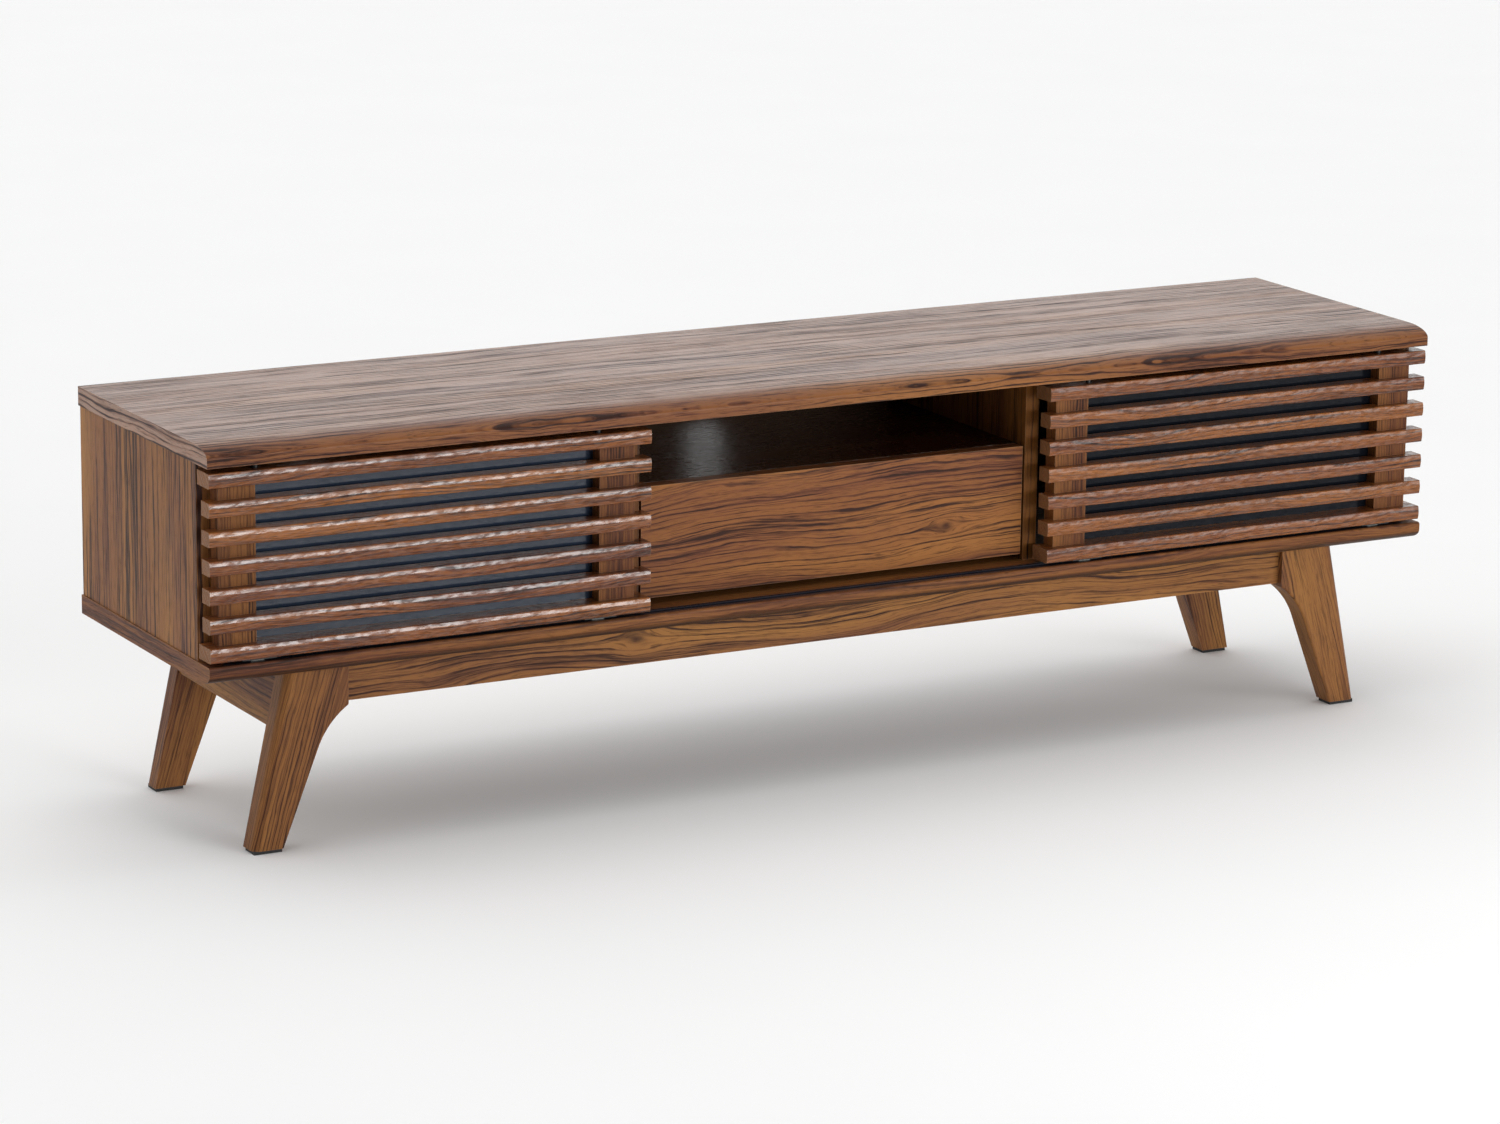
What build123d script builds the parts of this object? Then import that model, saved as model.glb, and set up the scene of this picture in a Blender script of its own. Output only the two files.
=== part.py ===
from build123d import *
from math import hypot
import os

# Media cabinet with slatted sliding doors, a centre niche over a drawer, and a base of splayed curved legs.
# Millimetres. Origin: middle of the footprint, on the floor. +X to the right, +Y to the back, +Z up.

# ---------------------------------------------------------------- driving dimensions
# Overall
cabinet_length = 1600.0
cabinet_depth = 370.0
cabinet_height = 470.0
base_height = 206.0             # floor to the underside of the bottom panel

# Boards
slab_thickness = 22.0           # top and bottom panels
panel_thickness = 18.0          # side panels, dividers, shelf and drawer front
back_thickness = 4.0
end_inset = 1.5                 # side panels behind the ends of the slabs
side_setback = 35.5             # side panels' front edges behind the slabs' front
divider_setback = 44.0          # dividers' and drawer front's faces behind the slabs' front
back_inset = 4.0                # back panel behind the slabs' back edges
back_lap = 10.0                 # back panel into the side panels' rebates
centre_width = 511.6            # clear width between the dividers

# Rounded front edges of the slabs
top_round_depth = 40.0
top_round_drop = 12.0
under_round_depth = 28.0
under_round_rise = 13.0
deck_lip_radius = 3.0

# Door tracks
track_setback = 5.0
track_width = 20.0
track_depth = 9.0
track_end = 20.0                # track ends inside the ends of the slabs
lower_groove_depth = 4.0
upper_groove_depth = 6.0
groove_width = 8.0

# Sliding doors
door_length = 535.0
door_end_gap = 2.0              # closed door's outer end inside the ends of the slabs
door_floor_gap = 4.0
door_top_gap = 6.0
slat_height = 16.5
slat_depth = 22.0
rail_depth = 32.5
slat_crown = 1.5                # swell of a slat's front at mid height
slat_round = 1.5
middle_slats = 5
stile_width = 44.0
stile_end_inset = 15.0
stile_setback = 12.5
door_panel_thickness = 3.0
door_panel_lap = 10.0           # panel into the stiles' rebates
rail_rebate = 6.0               # panel into the rails' rebates

# Door running gear
fitting_inset = 60.0            # rollers and guides from the ends of the door
roller_radius = 9.0
roller_width = 6.0
axle_radius = 1.5
bearing_gap = 0.05
track_gap = 0.3                 # roller over the floor of its groove
housing_length = 28.0
housing_width = 12.0
housing_top = 11.5              # housing's height inside the rail
flange_length = 40.0
flange_width = 18.0
flange_thickness = 2.0
housing_wall = 2.5
roller_clearance = 1.0
sleeve_radius = 5.0
sleeve_depth = 13.0
guide_radius = 3.0
guide_rise = 10.0               # guide pin above the top rail
guide_length = 15.0
fitting_gap = 0.1               # round pocket over the fitting in it

# Centre shelf and drawer
niche_height = 82.0             # shelf to the underside of the top panel
shelf_gap = 2.0                 # shelf behind the drawer front
drawer_side_gap = 3.0
drawer_finger_gap = 8.0
finger_bevel = 8.0
drawer_wall = 12.0
drawer_box_depth = 270.0
drawer_box_height = 90.0
drawer_box_rise = 16.0          # drawer box over the bottom panel
drawer_bottom_thickness = 4.0
drawer_bottom_rise = 6.0
drawer_groove = 6.0

# Drawer runners
runner_gap = 12.7               # drawer box to divider
runner_length = 270.0
runner_sheet = 1.5
rail_height = 35.0
rail_reach = 10.0
slide_height = 22.0
slide_reach = 8.4
runner_rise = 62.0              # runner's middle over the bottom panel
ball_radius = 2.2
ball_count = 5
ball_pitch = 14.0
cage_length = 70.0
cage_sheet = 0.8
cage_gap = 0.4
cage_middle_y = 15.0

# Base
leg_thickness = 28.0
base_front_inset = 32.5         # front legs' faces behind the slabs' front
base_back_inset = 29.0
foot_outer_inset = 63.0         # foot's outer edge from the end of the slab
leg_top_inset = 106.0           # leg's outer edge at the top
leg_top_width = 73.0
foot_width = 37.5
knee_height = 113.0             # where the leg's inner edge starts to curve
shoulder_drop = 48.0            # where it ends, below the bottom panel
leg_front_round = 10.0
leg_edge_round = 3.0
foot_pad_thickness = 4.0
foot_pad_inset = 2.0
apron_thickness = 20.0
apron_height = 44.5
side_apron_height = 68.0
apron_recess = 8.0              # aprons behind the legs' faces
side_apron_recess = 3.0
block_depth = 30.0
block_height = 36.0
block_overlap = 46.0            # corner block along the front and back aprons
bolt_radius = 3.0
bolt_head_radius = 6.0
bolt_head_height = 4.0
bolt_bite = 14.0

# Cam locks between the boards
cam_radius = 7.5
cam_depth = 13.0
cam_reach = 24.0                # cam's middle from the joint
cam_bolt_radius = 3.5
cam_bolt_bite = 12.0
cam_end_inset = 60.0

# Cable holes in the back panel
cable_hole_radius = 30.0
cable_hole_rise = 48.0          # middle of the centre hole over the shelf

cut_margin = 1.0                # cutters run this far past the face they open

# ---------------------------------------------------------------- derived places
front_y, back_y = -cabinet_depth / 2, cabinet_depth / 2
end_x = cabinet_length / 2
deck_z = base_height + slab_thickness                   # top of the bottom panel
ceiling_z = cabinet_height - slab_thickness             # underside of the top panel
inner_height = ceiling_z - deck_z

side_outer_x = end_x - end_inset
side_inner_x = side_outer_x - panel_thickness
divider_inner_x = centre_width / 2
divider_outer_x = divider_inner_x + panel_thickness
back_panel_y = back_y - back_inset - back_thickness     # front face of the back panel
side_back_y = back_y - back_inset / 2
divider_y = front_y + divider_setback

door_back_y = front_y + rail_depth
door_bottom_z = deck_z + door_floor_gap
door_top_z = ceiling_z - door_top_gap
door_outer_x = end_x - door_end_gap
door_inner_x = door_outer_x - door_length
slat_pitch = (door_top_z - door_bottom_z - slat_height) / (middle_slats + 1)
panel_front_y = door_back_y - door_panel_thickness
stile_front_y = front_y + stile_setback

track_front_y = front_y + track_setback
track_middle_y = track_front_y + track_width / 2
stop_x = door_outer_x - fitting_inset + roller_radius + roller_clearance     # closed ends of the grooves
roller_z = deck_z - lower_groove_depth + track_gap + roller_radius

shelf_top_z = ceiling_z - niche_height
drawer_back_face_y = divider_y + panel_thickness
drawer_outer_x = divider_inner_x - runner_gap
drawer_box_z = deck_z + drawer_box_rise
drawer_box_back_y = drawer_back_face_y + drawer_box_depth
drawer_floor_z = drawer_box_z + drawer_bottom_rise
runner_z = deck_z + runner_rise
runner_front_y = drawer_back_face_y + runner_sheet

foot_outer_x = end_x - foot_outer_inset
leg_top_x = end_x - leg_top_inset
leg_inner_x = leg_top_x - leg_top_width
leg_rise = base_height - foot_pad_thickness
outer_lean = (foot_outer_x - leg_top_x) / leg_rise      # outward step per unit of height going down
inner_lean = (foot_outer_x - foot_width - leg_inner_x) / leg_rise           # inward step going up
side_apron_inner_recess = side_apron_recess + apron_thickness * hypot(1, outer_lean)
front_leg_y = front_y + base_front_inset
back_leg_y = back_y - base_back_inset
block_front_y = front_leg_y + leg_thickness


# ---------------------------------------------------------------- helpers
def board(x0, x1, y0, y1, z0, z1):
    """A box between two corners; the sides may be given in either order."""
    size = (abs(x1 - x0), abs(y1 - y0), abs(z1 - z0))
    return Pos((x0 + x1) / 2, (y0 + y1) / 2, (z0 + z1) / 2) * Box(*size)


def across(outline, x0, x1):
    """A closed YZ outline drawn from x0 to x1."""
    return extrude(Plane.YZ.offset(x0) * make_face(outline), amount=x1 - x0)


def along_y(outline, y0, y1):
    """A closed XZ outline drawn from y0 to y1."""
    face = Plane(origin=(0, y0, 0), x_dir=(1, 0, 0), z_dir=(0, -1, 0)) * make_face(outline)
    return extrude(face, amount=y0 - y1)


def rod_y(x, y0, y1, z, radius):
    return Pos(x, (y0 + y1) / 2, z) * Rot(90, 0, 0) * Cylinder(radius, abs(y1 - y0))


def rod_z(x, y, z0, z1, radius):
    return Pos(x, y, (z0 + z1) / 2) * Cylinder(radius, abs(z1 - z0))


def both(solid):
    """A solid and its mirror image in the YZ plane."""
    return [solid, mirror(solid, Plane.YZ)]


# ---------------------------------------------------------------- cam locks
def cam_lock(face, toward, mouth, gap=0.0):
    """A cam in a board's face, and its bolt across the joint. face is the cam's middle on that face, toward
    points at the joint, and mouth points out of the face."""
    place = Plane(origin=face, x_dir=toward, z_dir=mouth).location
    bolt_length = cam_reach - cam_radius + cam_bolt_bite
    bolt_middle = Pos(cam_radius + bolt_length / 2, 0, -panel_thickness / 2)
    cam = place * Pos(0, 0, -cam_depth / 2) * Cylinder(cam_radius + gap, cam_depth)
    bolt = place * bolt_middle * Rot(0, 90, 0) * Cylinder(cam_bolt_radius + gap, bolt_length)
    return [cam, bolt]


def cam_places():
    """Face point, direction of the joint and direction of the mouth, for every cam lock."""
    uprights = [
        (-side_inner_x, 1, front_y + side_setback), (side_inner_x, -1, front_y + side_setback),
        (-divider_outer_x, -1, divider_y), (divider_outer_x, 1, divider_y),
    ]
    places = []
    for face_x, mouth, edge_y in uprights:
        for y in (edge_y + cam_end_inset, back_panel_y - cam_end_inset):
            places.append(((face_x, y, deck_z + cam_reach), (0, 0, -1), (mouth, 0, 0)))
            places.append(((face_x, y, ceiling_z - cam_reach), (0, 0, 1), (mouth, 0, 0)))
    for side in (-1, 1):
        for y in (divider_y + panel_thickness + cam_end_inset, back_panel_y - cam_end_inset):
            face = (side * (divider_inner_x - cam_reach), y, shelf_top_z - panel_thickness)
            places.append((face, (side, 0, 0), (0, 0, -1)))
    return places


def cam_pockets():
    return [solid for place in cam_places() for solid in cam_lock(*place, gap=fitting_gap)]


# ---------------------------------------------------------------- carcass
def edge_waste(depth, rise, face_z, up):
    """The waste, in YZ, outside a quarter oval that runs from the slab's front to its top or bottom face.

    up is 1 for a top face and -1 for a bottom face."""
    spring_z = face_z - up * rise
    flat_y = front_y + depth
    far_y, far_z = front_y - cut_margin, face_z + up * cut_margin
    oval = EllipticalCenterArc((flat_y, spring_z), depth, rise, start_angle=180, arc_size=-90 * up)
    outside = Polyline((flat_y, face_z), (flat_y, far_z), (far_y, far_z), (far_y, spring_z),
                       (front_y, spring_z))
    return oval + outside


def track_room(z0, z1):
    return board(-end_x + track_end, end_x - track_end, track_front_y, track_front_y + track_width, z0, z1)


def top_panel():
    slab = board(-end_x, end_x, front_y, back_y, ceiling_z, cabinet_height)
    slab -= across(edge_waste(top_round_depth, top_round_drop, cabinet_height, 1), -end_x, end_x)
    slab -= track_room(ceiling_z, ceiling_z + track_depth)
    return slab - cam_pockets()


def bottom_panel():
    slab = board(-end_x, end_x, front_y, back_y, base_height, deck_z)
    slab -= across(edge_waste(under_round_depth, under_round_rise, base_height, -1), -end_x, end_x)
    lip = slab.edges().filter_by(Axis.X).sort_by_distance((0, front_y, deck_z))[0]
    slab = fillet(lip, deck_lip_radius)
    slab -= track_room(deck_z - track_depth, deck_z)
    return slab - cam_pockets()


def side_panel():
    """The right side panel, rebated for the back panel."""
    panel = board(side_inner_x, side_outer_x, front_y + side_setback, side_back_y, deck_z, ceiling_z)
    return panel - board(side_inner_x, side_inner_x + back_lap, back_panel_y, back_y, deck_z, ceiling_z)


def divider():
    """The right divider."""
    return board(divider_inner_x, divider_outer_x, divider_y, back_panel_y, deck_z, ceiling_z)


def centre_shelf():
    shelf_y = drawer_back_face_y + shelf_gap
    shelf = board(-divider_inner_x, divider_inner_x, shelf_y, back_panel_y,
                  shelf_top_z - panel_thickness, shelf_top_z)
    return shelf - cam_pockets()


def cable_hole_places():
    """The X and Z of each cable hole: one behind each door and one behind the niche."""
    bay_x, bay_z = (divider_outer_x + side_inner_x) / 2, (deck_z + ceiling_z) / 2
    return [(-bay_x, bay_z), (0, shelf_top_z + cable_hole_rise), (bay_x, bay_z)]


def back_panel():
    half = side_inner_x + back_lap
    sheet = board(-half, half, back_panel_y, back_panel_y + back_thickness, deck_z, ceiling_z)
    for x, z in cable_hole_places():
        sheet -= rod_y(x, back_panel_y - cut_margin, back_y, z, cable_hole_radius)
    return sheet


def track(face_z, into, groove_depth):
    """A grooved strip let into a slab's face. into is 1 when the slab is above the face and -1 when below."""
    strip = track_room(face_z, face_z + into * track_depth)
    groove_front_y = track_middle_y - groove_width / 2
    return strip - board(-stop_x, stop_x, groove_front_y, groove_front_y + groove_width,
                         face_z, face_z + into * groove_depth)


# ---------------------------------------------------------------- doors (drawn for the right door)
def fitting_x():
    """The X of the right door's outer and inner fittings."""
    return {"outer": door_outer_x - fitting_inset, "inner": door_inner_x + fitting_inset}


def slat(z, depth):
    """A bar with a gently crowned front and eased front edges."""
    edge_y, slat_back_y, top_z = front_y + slat_crown, front_y + depth, z + slat_height
    crown = ThreePointArc((edge_y, z), (front_y, z + slat_height / 2), (edge_y, top_z))
    rest = Polyline((edge_y, top_z), (slat_back_y, top_z), (slat_back_y, z), (edge_y, z))
    body = across(crown + rest, door_inner_x, door_outer_x)
    return fillet(body.edges().filter_by(Axis.X).group_by(Axis.Y)[0], slat_round)


def roller_housing(x):
    """A plastic block with a slot for the roller, its flange under the rail, and the axle across it."""
    flange_z = door_bottom_z - flange_thickness
    block = board(x - housing_length / 2, x + housing_length / 2, track_middle_y - housing_width / 2,
                  track_middle_y + housing_width / 2, flange_z, door_bottom_z + housing_top)
    block += board(x - flange_length / 2, x + flange_length / 2, track_middle_y - flange_width / 2,
                   track_middle_y + flange_width / 2, flange_z, door_bottom_z)
    slot_half = roller_width / 2 + roller_clearance
    reach = roller_radius + roller_clearance
    block -= board(x - reach, x + reach, track_middle_y - slot_half, track_middle_y + slot_half,
                   flange_z, roller_z + roller_radius + roller_clearance / 2)
    axle_half = slot_half + housing_wall / 2
    return block + rod_y(x, track_middle_y - axle_half, track_middle_y + axle_half, roller_z, axle_radius)


def roller(x):
    y0 = track_middle_y - roller_width / 2
    y1 = y0 + roller_width
    wheel = rod_y(x, y0, y1, roller_z, roller_radius)
    return wheel - rod_y(x, y0 - cut_margin, y1 + cut_margin, roller_z, axle_radius + bearing_gap)


def guide_sleeve(x):
    sleeve = rod_z(x, track_middle_y, door_top_z - sleeve_depth, door_top_z, sleeve_radius)
    bore_z = door_top_z - sleeve_depth + sleeve_radius - guide_radius
    return sleeve - rod_z(x, track_middle_y, bore_z, door_top_z + cut_margin, guide_radius + bearing_gap)


def guide_pin(x):
    tip_z = door_top_z + guide_rise
    pin = rod_z(x, track_middle_y, tip_z - guide_length, tip_z, guide_radius)
    return fillet(pin.edges().filter_by(GeomType.CIRCLE).sort_by(Axis.Z)[-1], guide_radius / 2)


def bottom_rail():
    rail = slat(door_bottom_z, rail_depth)
    for x in fitting_x().values():
        rail -= board(x - housing_length / 2, x + housing_length / 2, track_middle_y - housing_width / 2,
                      track_middle_y + housing_width / 2, door_bottom_z, door_bottom_z + housing_top)
    return rail - door_panel()


def top_rail():
    rail = slat(door_top_z - slat_height, rail_depth)
    for x in fitting_x().values():
        rail -= rod_z(x, track_middle_y, door_top_z - sleeve_depth, door_top_z, sleeve_radius + fitting_gap)
    return rail - door_panel()


def middle_slat_z():
    return [door_bottom_z + (n + 1) * slat_pitch for n in range(middle_slats)]


def stile(x0):
    """A stile between the rails, notched for the middle slats and rebated for the panel."""
    post = board(x0, x0 + stile_width, stile_front_y, door_back_y,
                 door_bottom_z + slat_height, door_top_z - slat_height)
    for z in middle_slat_z():
        post -= board(x0, x0 + stile_width, stile_front_y, front_y + slat_depth, z, z + slat_height)
    return post - door_panel()


def door_panel():
    inset = stile_end_inset + stile_width - door_panel_lap
    return board(door_inner_x + inset, door_outer_x - inset, panel_front_y, door_back_y,
                 door_bottom_z + slat_height - rail_rebate, door_top_z - slat_height + rail_rebate)


def door_nodes():
    """Every node of the right door, by name."""
    nodes = {"bottom_rail": bottom_rail(), "top_rail": top_rail(), "panel": door_panel()}
    for n, z in enumerate(middle_slat_z(), 1):
        nodes[f"slat_{n}"] = slat(z, slat_depth)
    nodes["outer_stile"] = stile(door_outer_x - stile_end_inset - stile_width)
    nodes["inner_stile"] = stile(door_inner_x + stile_end_inset)
    fittings = []
    for place, x in fitting_x().items():
        fittings += [roller_housing(x), guide_sleeve(x)]
        nodes[f"{place}_roller"] = roller(x)
        nodes[f"{place}_guide_pin"] = guide_pin(x)
    nodes["fittings"] = Compound(children=fittings)
    return nodes


# ---------------------------------------------------------------- drawer
def drawer_front():
    half = divider_inner_x - drawer_side_gap
    front = board(-half, half, divider_y, drawer_back_face_y, deck_z + drawer_finger_gap, shelf_top_z)
    pull = front.edges().filter_by(Axis.X).sort_by_distance((0, drawer_back_face_y, deck_z))[0]
    return chamfer(pull, finger_bevel)


def drawer_floor():
    half = drawer_outer_x - drawer_wall + drawer_groove
    return board(-half, half, drawer_back_face_y, drawer_box_back_y,
                 drawer_floor_z, drawer_floor_z + drawer_bottom_thickness)


def drawer_side():
    """The right side of the drawer box."""
    side = board(drawer_outer_x - drawer_wall, drawer_outer_x, drawer_back_face_y, drawer_box_back_y,
                 drawer_box_z, drawer_box_z + drawer_box_height)
    return side - drawer_floor()


def drawer_back():
    half = drawer_outer_x - drawer_wall
    return board(-half, half, drawer_box_back_y - drawer_wall, drawer_box_back_y,
                 drawer_floor_z + drawer_bottom_thickness, drawer_box_z + drawer_box_height)


def channel(web_x, reach, height, sheet, y0, y1):
    """A C section with its web's outer face at web_x. Its flanges reach by reach, which may be negative."""
    side = 1 if reach > 0 else -1
    low, high = runner_z - height / 2, runner_z + height / 2
    whole = board(web_x, web_x + reach, y0, y1, low, high)
    return whole - board(web_x + side * sheet, web_x + reach, y0, y1, low + sheet, high - sheet)


def runner_rail():
    return channel(divider_inner_x, -rail_reach, rail_height, runner_sheet,
                   runner_front_y, runner_front_y + runner_length)


def runner_slide():
    return channel(drawer_outer_x, slide_reach, slide_height, runner_sheet,
                   runner_front_y, runner_front_y + runner_length)


def ball_cage():
    """The right runner's cage, a bent strip between the rail and the slide, and its two rows of balls."""
    y0, y1 = cage_middle_y - cage_length / 2, cage_middle_y + cage_length / 2
    web_x = divider_inner_x - runner_sheet - cage_gap
    ball_rise = (rail_height / 2 - runner_sheet + slide_height / 2) / 2
    flange_reach = web_x - (drawer_outer_x + runner_sheet + cage_gap)
    ball_x = (divider_inner_x - rail_reach + drawer_outer_x + slide_reach) / 2
    cage = channel(web_x, -flange_reach, 2 * ball_rise + cage_sheet, cage_sheet, y0, y1)
    balls = []
    for n in range(ball_count):
        y = cage_middle_y + (n - (ball_count - 1) / 2) * ball_pitch
        cage -= rod_z(ball_x, y, runner_z - rail_height, runner_z + rail_height, ball_radius + fitting_gap)
        for side in (-1, 1):
            balls.append(Pos(ball_x, y, runner_z + side * ball_rise) * Sphere(ball_radius))
    return [cage, *balls]


# ---------------------------------------------------------------- base
def leg_outline():
    """The right leg in XZ: straight splayed edges, and an inner edge that curves out to meet the apron."""
    foot_inner_x = foot_outer_x - foot_width
    knee_x = foot_inner_x - (knee_height - foot_pad_thickness) * inner_lean
    shoulder = (leg_inner_x, base_height - shoulder_drop)
    knee = (knee_x, knee_height)
    straight = Polyline(shoulder, (leg_inner_x, base_height), (leg_top_x, base_height),
                        (foot_outer_x, foot_pad_thickness), (foot_inner_x, foot_pad_thickness), knee)
    return straight + TangentArc(knee, shoulder, tangent=Vector(-inner_lean, 1))


def leg(front):
    """The right leg, front or back, with its outward edges rounded."""
    y0 = front_leg_y if front else back_leg_y - leg_thickness
    face_y = front_leg_y if front else back_leg_y
    body = along_y(leg_outline(), y0, y0 + leg_thickness)
    middle_z = (base_height + foot_pad_thickness) / 2
    outer_edge = body.edges().sort_by_distance((lean_x(middle_z, 0), face_y, middle_z))[0]
    body = fillet(outer_edge, leg_front_round)
    low_z = middle_z / 2
    inner_x = foot_outer_x - foot_width - (low_z - foot_pad_thickness) * inner_lean
    return fillet(body.edges().sort_by_distance((inner_x, face_y, low_z))[0], leg_edge_round)


def foot_pad(front):
    y0 = front_leg_y if front else back_leg_y - leg_thickness
    return board(foot_outer_x - foot_width + foot_pad_inset, foot_outer_x - foot_pad_inset,
                 y0 + foot_pad_inset, y0 + leg_thickness - foot_pad_inset, 0, foot_pad_thickness)


def long_apron(front):
    y0 = front_leg_y + apron_recess if front else back_leg_y - apron_recess - apron_thickness
    low = base_height - apron_height
    return board(-leg_inner_x, leg_inner_x, y0, y0 + apron_thickness, low, base_height)


def lean_x(z, inset):
    """X of a line parallel to the legs' outer edges, inset from them, at a height."""
    return leg_top_x + (base_height - z) * outer_lean - inset


def side_apron():
    """The right side apron, leaning with the legs."""
    outer, inner = side_apron_recess, side_apron_inner_recess
    low = base_height - side_apron_height
    outline = Polyline((lean_x(base_height, outer), base_height), (lean_x(low, outer), low),
                       (lean_x(low, inner), low), (lean_x(base_height, inner), base_height), close=True)
    return along_y(outline, block_front_y, back_leg_y - leg_thickness)


def corner(front):
    """Y of the corner block's face on the leg, and which way the block goes from it."""
    return (block_front_y, 1) if front else (back_leg_y - leg_thickness, -1)


def bolt_places():
    """The X of the leg's bolt and of the apron's bolt."""
    return ((leg_inner_x + leg_top_x) / 2 - bolt_head_radius, leg_inner_x - block_overlap / 2)


def bolt_z():
    return base_height - block_height / 2


def corner_block(front):
    face_y, way = corner(front)
    low = base_height - block_height
    x0 = leg_inner_x - block_overlap
    outer = side_apron_inner_recess
    outline = Polyline((x0, low), (x0, base_height), (lean_x(base_height, outer), base_height),
                       (lean_x(low, outer), low), close=True)
    low_y, high_y = sorted((face_y, face_y + way * block_depth))
    return along_y(outline, low_y, high_y) - bolt_holes(front)


def corner_bolt(x, front, gap=0.0):
    face_y, way = corner(front)
    shank = rod_y(x, face_y - way * bolt_bite, face_y + way * block_depth, bolt_z(), bolt_radius + gap)
    head_y = face_y + way * block_depth
    return shank + rod_y(x, head_y, head_y + way * bolt_head_height, bolt_z(), bolt_head_radius)


def bolt_holes(front):
    return [corner_bolt(x, front, fitting_gap) for x in bolt_places()]


# ---------------------------------------------------------------- every node
def carcass_nodes():
    pockets = cam_pockets()
    nodes = {
        "top_panel": top_panel(),
        "bottom_panel": bottom_panel(),
        "centre_shelf": centre_shelf(),
        "back_panel": back_panel(),
        "upper_track": track(ceiling_z, 1, upper_groove_depth),
        "lower_track": track(deck_z, -1, lower_groove_depth),
        "cam_locks": Compound(children=[solid for place in cam_places() for solid in cam_lock(*place)]),
        "runner_rails": Compound(children=both(runner_rail())),
    }
    for name, panel in (("side_panel", side_panel()), ("divider", divider())):
        for side, solid in zip(("right", "left"), both(panel)):
            nodes[f"{side}_{name}"] = solid - pockets
    return nodes


def base_nodes():
    nodes, blocks, bolts, pads = {}, [], [], []
    for place in ("front", "back"):
        front = place == "front"
        holes = bolt_holes(front)
        for side, solid in zip(("right", "left"), both(leg(front) - holes)):
            nodes[f"{place}_{side}_leg"] = solid
        nodes[f"{place}_apron"] = long_apron(front) - holes - [mirror(hole, Plane.YZ) for hole in holes]
        blocks += both(corner_block(front))
        pads += both(foot_pad(front))
        for x in bolt_places():
            bolts += both(corner_bolt(x, front))
    for side, solid in zip(("right", "left"), both(side_apron())):
        nodes[f"{side}_apron"] = solid
    nodes["corner_blocks"] = Compound(children=blocks)
    nodes["corner_bolts"] = Compound(children=bolts)
    nodes["foot_pads"] = Compound(children=pads)
    return nodes


def drawer_nodes():
    nodes = {"drawer_front": drawer_front(), "drawer_bottom": drawer_floor(), "drawer_back": drawer_back()}
    for side, solid in zip(("right", "left"), both(drawer_side())):
        nodes[f"drawer_{side}_side"] = solid
    nodes["drawer_slides"] = Compound(children=both(runner_slide()))
    nodes["ball_cages"] = Compound(children=[half for solid in ball_cage() for half in both(solid)])
    return nodes


def all_nodes():
    nodes = {**carcass_nodes(), **base_nodes(), **drawer_nodes()}
    for name, solid in door_nodes().items():
        nodes[f"right_door_{name}"] = solid
        nodes[f"left_door_{name}"] = mirror(solid, Plane.YZ)
    return nodes


os.makedirs("parts", exist_ok=True)
for name, solid in all_nodes().items():
    export_step(solid, f"parts/{name}.step")
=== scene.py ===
import math

import bmesh
import bpy
from mathutils import Matrix, Vector


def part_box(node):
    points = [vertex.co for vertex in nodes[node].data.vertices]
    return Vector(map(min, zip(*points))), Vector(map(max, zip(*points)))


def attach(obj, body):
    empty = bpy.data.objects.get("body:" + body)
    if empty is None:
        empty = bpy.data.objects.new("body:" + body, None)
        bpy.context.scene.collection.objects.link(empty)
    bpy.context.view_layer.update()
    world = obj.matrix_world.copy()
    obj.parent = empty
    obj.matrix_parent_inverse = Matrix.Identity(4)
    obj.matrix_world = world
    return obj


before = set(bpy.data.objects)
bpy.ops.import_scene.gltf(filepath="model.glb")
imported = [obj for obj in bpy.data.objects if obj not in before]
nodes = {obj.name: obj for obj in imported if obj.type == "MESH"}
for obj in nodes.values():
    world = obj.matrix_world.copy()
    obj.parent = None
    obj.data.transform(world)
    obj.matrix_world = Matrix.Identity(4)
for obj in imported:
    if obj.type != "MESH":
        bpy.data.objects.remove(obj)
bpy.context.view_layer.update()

MM = 0.001


# ---------------------------------------------------------------- node building
def add(tree, kind, sockets=None, **settings):
    """A new shader node; sockets maps an input's name or number to a value or to another node's output."""
    made = tree.nodes.new(kind)
    for name, value in settings.items():
        setattr(made, name, value)
    for name, value in (sockets or {}).items():
        if isinstance(value, bpy.types.NodeSocket):
            tree.links.new(value, made.inputs[name])
        else:
            made.inputs[name].default_value = value
    return made


def maths(tree, operation, *values):
    return add(tree, "ShaderNodeMath", dict(enumerate(values)), operation=operation).outputs[0]


def blend(tree, factor, a, b, mode="MIX"):
    mixed = add(tree, "ShaderNodeMix", {"Factor": factor}, data_type="RGBA", blend_type=mode)
    for name, value in (("A", a), ("B", b)):
        socket = next(s for s in mixed.inputs if s.name == name and s.type == "RGBA")
        if isinstance(value, bpy.types.NodeSocket):
            tree.links.new(value, socket)
        else:
            socket.default_value = value
    return next(s for s in mixed.outputs if s.type == "RGBA")


def ramp(tree, factor, stops, smooth=False):
    made = add(tree, "ShaderNodeValToRGB", {"Fac": factor})
    band = made.color_ramp
    band.interpolation = "EASE" if smooth else "LINEAR"
    while len(band.elements) < len(stops):
        band.elements.new(0.5)
    for element, (place, value) in zip(band.elements, stops):
        element.position = place
        element.color = value if len(value) == 4 else (*value, 1.0)
    return made.outputs["Color"]


def grey(value):
    return (value, value, value, 1.0)


def spread(tree, value, low_in, high_in, low_out, high_out):
    return add(tree, "ShaderNodeMapRange", {"Value": value, "From Min": low_in, "From Max": high_in,
                                            "To Min": low_out, "To Max": high_out}).outputs["Result"]


def point(tree, x, y, z):
    return add(tree, "ShaderNodeCombineXYZ", {"X": x, "Y": y, "Z": z}).outputs[0]


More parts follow.
